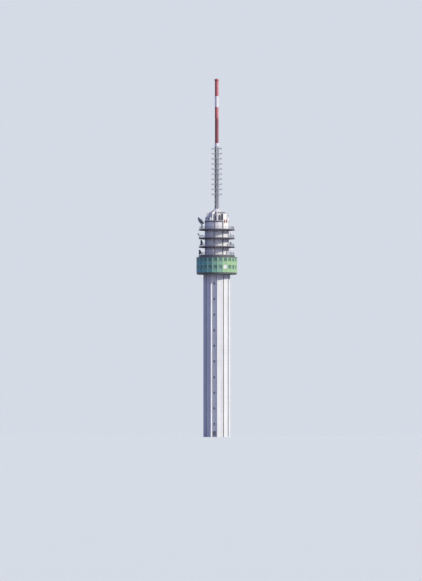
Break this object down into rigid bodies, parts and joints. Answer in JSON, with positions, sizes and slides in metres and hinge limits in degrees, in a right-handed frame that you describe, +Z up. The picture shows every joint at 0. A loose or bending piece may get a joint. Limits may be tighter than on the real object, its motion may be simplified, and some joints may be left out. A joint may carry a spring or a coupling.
{
  "type": "scale model of a radio tower at one tenth of its real size",
  "caption": "Tall white radio tower with a slab-sided shaft, a round green house, open platforms with dishes, a lattice mast and a red and white antenna tube.",
  "frame": {"origin": "on the tower's axis at ground level, on the underside of the ground floor", "axes": "+Z up along the tower's axis, -Y towards the front with the entrance, +X to the right"},
  "size_m": [1.7078, 1.7078, 15],
  "materials": {
    "white_concrete": "painted concrete, lightly stained",
    "floor_concrete": "bare concrete",
    "green_cladding": "satin coil-coated sheet",
    "green_post": "satin paint",
    "green_roof": "painted edge around a grey deck",
    "platform_steel": "dull grey paint",
    "galvanised_steel": "dull galvanised",
    "white_steel": "satin paint",
    "grey_door": "satin paint",
    "red_antenna": "weathered gloss",
    "red_shell": "weathered gloss",
    "white_shell": "weathered gloss",
    "dish_grey": "satin paint",
    "antenna_white": "satin shell"
  },
  "bodies": {
    "root": {"ground_floor": "floor_concrete", "recess_wall_front": "white_concrete", "recess_wall_right": "white_concrete", "recess_wall_back": "white_concrete", "recess_wall_left": "white_concrete", "corner_walls": "white_concrete", "shaft_slabs": "white_concrete", "entrance_door": "grey_door", "shaft_landings": "floor_concrete", "ring_floor": "floor_concrete", "ring_posts": "green_post", "ring_panels": "green_cladding", "ring_mid_floor": "floor_concrete", "ring_core_wall": "white_concrete", "ring_roof": "green_roof", "drum_wall_1": "white_concrete", "drum_wall_2": "white_concrete", "drum_wall_3": "white_concrete", "drum_wall_4": "white_concrete", "drum_doors": "grey_door", "platform_1": "platform_steel", "platform_2": "platform_steel", "platform_3": "platform_steel", "railings": "galvanised_steel", "crown_deck": "white_concrete", "crown_fins": "white_concrete", "crown_room": "white_concrete", "plant_rooms": "white_concrete", "mast_pedestal": "white_steel", "mast_legs": "galvanised_steel", "mast_side_front": "galvanised_steel", "mast_side_right": "galvanised_steel", "mast_side_back": "galvanised_steel", "mast_side_left": "galvanised_steel", "cable_ladder": "galvanised_steel", "antenna_arms": "galvanised_steel", "mast_collar": "white_steel", "ribbed_antenna": "red_antenna", "tube_red_lower": "red_shell", "tube_white": "white_shell", "tube_red_upper": "red_shell", "tube_cap": "red_shell", "big_dish": "dish_grey", "big_dish_stand": "galvanised_steel", "platform_antennas": "antenna_white"}
  },
  "joints": []
}
